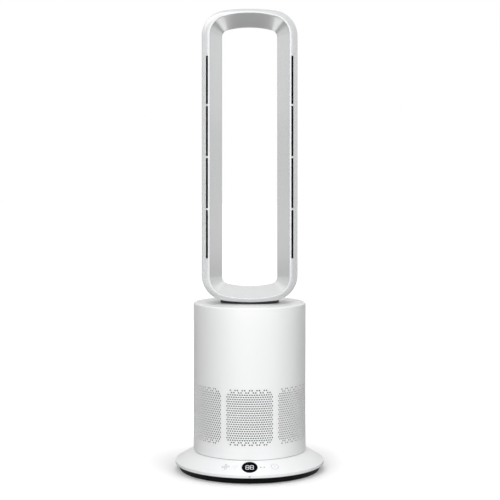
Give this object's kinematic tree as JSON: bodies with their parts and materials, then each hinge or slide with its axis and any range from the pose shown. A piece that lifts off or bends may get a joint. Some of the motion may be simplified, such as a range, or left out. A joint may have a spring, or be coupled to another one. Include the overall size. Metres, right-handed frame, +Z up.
{
  "type": "bladeless fan",
  "caption": "Free-standing bladeless tower fan: round base with display, oscillating perforated drum with the impeller inside, and a tall hollow loop with air slots",
  "frame": {"origin": "centre of the base where its feet stand on the floor", "axes": "+Z up along the tower, -Y towards the front with the display and the air slots, +X to the viewer's right"},
  "size_m": [0.3, 0.3, 0.9265],
  "materials": {
    "white_gloss": "white moulded plastic, glossy",
    "silver_satin": "satin silver paint on moulded plastic",
    "black_base": "black moulded plastic, half gloss",
    "black_lens": "smoked window, polished",
    "black_nozzle": "black moulded plastic, matte",
    "dark_module": "dark moulded plastic",
    "rubber": "dark soft rubber",
    "circuit_board": "green laminate with parts",
    "slippery_plastic": "natural acetal plastic",
    "inner_plastic": "grey moulded plastic",
    "impeller_plastic": "glass-filled black plastic",
    "dust_net": "fine dark net",
    "lead_jacket": "black soft cable jacket",
    "plain_steel": "plain pressed steel",
    "zinc_plate": "zinc-plated steel",
    "zinc_screw": "zinc-plated screws",
    "shaft_steel": "ground steel",
    "copper_winding": "enamelled copper wire on a laminated core",
    "magnet_iron": "dark plated bell with magnets"
  },
  "bodies": {
    "base": {"rubber_feet": "rubber", "base_pan": "black_base", "base_screws": "zinc_screw", "ballast_plate": "plain_steel", "base_cover": "white_gloss", "display_lens": "black_lens", "receiver_window": "black_lens", "display_module": "dark_module", "touch_strip": "circuit_board", "main_board": "circuit_board", "power_inlet": "dark_module", "stepper_motor": "zinc_plate", "glide_ring": "slippery_plastic", "base_lead": "lead_jacket"},
    "tower": {"ring_gear": "slippery_plastic", "turntable": "inner_plastic", "keeper_plate": "zinc_plate", "keeper_screws": "zinc_screw", "casing_screws": "zinc_screw", "drum_casing": "white_gloss", "dust_screen": "dust_net", "top_cover": "white_gloss", "fan_deck": "inner_plastic", "inlet_bellmouth": "inner_plastic", "fan_shroud": "inner_plastic", "stator_vanes": "inner_plastic", "motor_cup": "inner_plastic", "motor_cap": "inner_plastic", "motor_bearings": "shaft_steel", "motor_stator": "copper_winding", "air_duct": "inner_plastic", "driver_board": "circuit_board", "tower_lead": "lead_jacket", "loop_outer_shell": "silver_satin", "loop_inner_wall": "silver_satin", "front_band": "silver_satin", "outlet_nozzles": "black_nozzle", "neck_gasket": "rubber", "neck_screws": "zinc_screw"},
    "rotor": {"impeller": "impeller_plastic", "motor_shaft": "shaft_steel", "impeller_nut": "zinc_screw", "magnet_rotor": "magnet_iron"},
    "pinion": {"drive_pinion": "slippery_plastic", "pinion_shaft": "shaft_steel"}
  },
  "joints": [
    {"name": "oscillation", "type": "hinge", "parent": "base", "child": "tower", "pos_m": [0, 0, 0.0362], "axis": [0, 0, 1], "range_deg": [-40, 40]},
    {"name": "impeller_spin", "type": "hinge", "parent": "tower", "child": "rotor", "pos_m": [0, 0, 0.22], "axis": [0, 0, 1], "continuous": true},
    {"name": "pinion_turn", "type": "hinge", "parent": "base", "child": "pinion", "pos_m": [0, 0.045, 0.0337], "axis": [0, 0, 1], "range_deg": [-240, 240]}
  ],
  "couplings": [
    {"joint": "pinion_turn", "follows": "oscillation", "ratio": 6}
  ]
}
